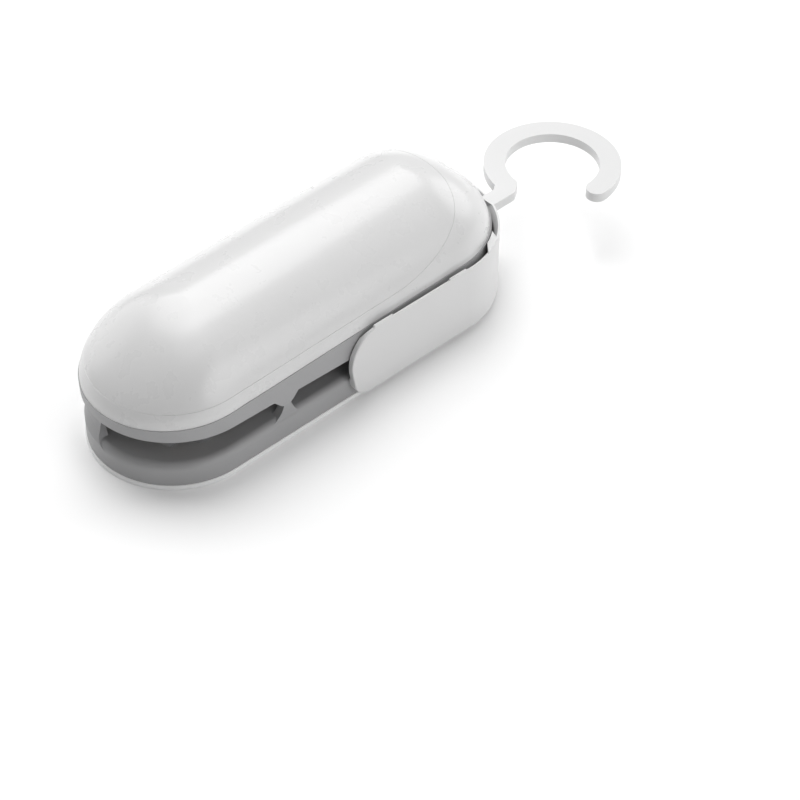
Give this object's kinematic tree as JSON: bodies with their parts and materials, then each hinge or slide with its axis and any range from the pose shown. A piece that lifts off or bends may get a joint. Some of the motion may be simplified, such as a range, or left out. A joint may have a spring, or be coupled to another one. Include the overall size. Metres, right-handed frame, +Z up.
{
  "type": "handheld bag heat sealer",
  "caption": "Small battery bag heat sealer: domed upper jaw hinged on a flat lower jaw, with a rear band that ends in an open hanging hook.",
  "frame": {"origin": "middle of the flat underside of the bottom cover, half way along the body without its hook", "axes": "+Y from the front of the jaws towards the hanging hook, +Z up from the surface that it rests on, +X to the right seen from behind the front"},
  "size_m": [0.0459, 0.1488, 0.0363],
  "materials": {
    "white_shell": "smooth satin-gloss white ABS",
    "white_bracket": "smooth satin-gloss white ABS",
    "white_cover": "fine-grained white ABS",
    "grey_tray": "fine satin mid-grey ABS",
    "pad_rail": "fine matte dark-grey plastic",
    "pad_rubber": "matte translucent silicone",
    "heater_body": "matte phenolic resin",
    "heater_foil": "rolled nickel-chrome foil",
    "film": "coated glass cloth, fine weave",
    "brass": "pressed brass",
    "nickel_plate": "nickel-plated spring steel",
    "screw_steel": "zinc-plated steel",
    "spring_wire": "drawn spring wire",
    "blade_steel": "ground blade steel",
    "cell_wrap": "satin printed sleeve on a metal can",
    "switch_body": "matte black moulding",
    "switch_button": "red acetal",
    "wire_red": "soft PVC insulation",
    "wire_black": "soft PVC insulation"
  },
  "bodies": {
    "lower_jaw": {"lower_tray": "grey_tray", "bottom_cover": "white_cover", "bottom_screws": "screw_steel", "pad_holder": "pad_rail", "silicone_pad": "pad_rubber", "hanger_bracket": "white_bracket", "hinge_pin": "screw_steel", "pin_washer": "spring_wire", "return_spring": "spring_wire"},
    "upper_jaw": {"upper_housing": "white_shell", "upper_tray": "grey_tray", "tray_screws": "screw_steel", "micro_switch": "switch_body", "heater_block": "heater_body", "heating_strip": "heater_foil", "heater_film": "film", "strip_terminal_left": "brass", "strip_terminal_right": "brass", "battery_left": "cell_wrap", "battery_right": "cell_wrap", "battery_link_plate": "nickel_plate", "battery_plate_negative": "nickel_plate", "battery_plate_positive": "nickel_plate", "contact_spring_front": "spring_wire", "contact_spring_rear": "spring_wire", "wire_battery_to_switch": "wire_red", "wire_switch_to_heater": "wire_red", "wire_battery_to_heater": "wire_black", "cutter_blade": "blade_steel", "blade_clamp": "pad_rail"},
    "battery_cover": {"battery_cover": "white_shell"},
    "switch_plunger": {"switch_plunger": "switch_button"}
  },
  "joints": [
    {"name": "jaw_hinge", "type": "hinge", "parent": "lower_jaw", "child": "upper_jaw", "pos_m": [0, 0.038, 0.012], "axis": [1, 0, 0], "range_deg": [0, 1.75], "stiffness_Nm_per_rad": 3.5, "springref_deg": -3.44, "deforming": ["return_spring"]},
    {"name": "battery_cover_lift", "type": "slide", "parent": "upper_jaw", "child": "battery_cover", "axis": [0, -0.0277, 0.9996], "range_m": [0, 0.03]},
    {"name": "plunger_travel", "type": "slide", "parent": "upper_jaw", "child": "switch_plunger", "axis": [0, 0, 1], "range_m": [0, 0.0006]}
  ],
  "couplings": [
    {"joint": "plunger_travel", "follows": "jaw_hinge", "m_per_rad": 0.018}
  ]
}
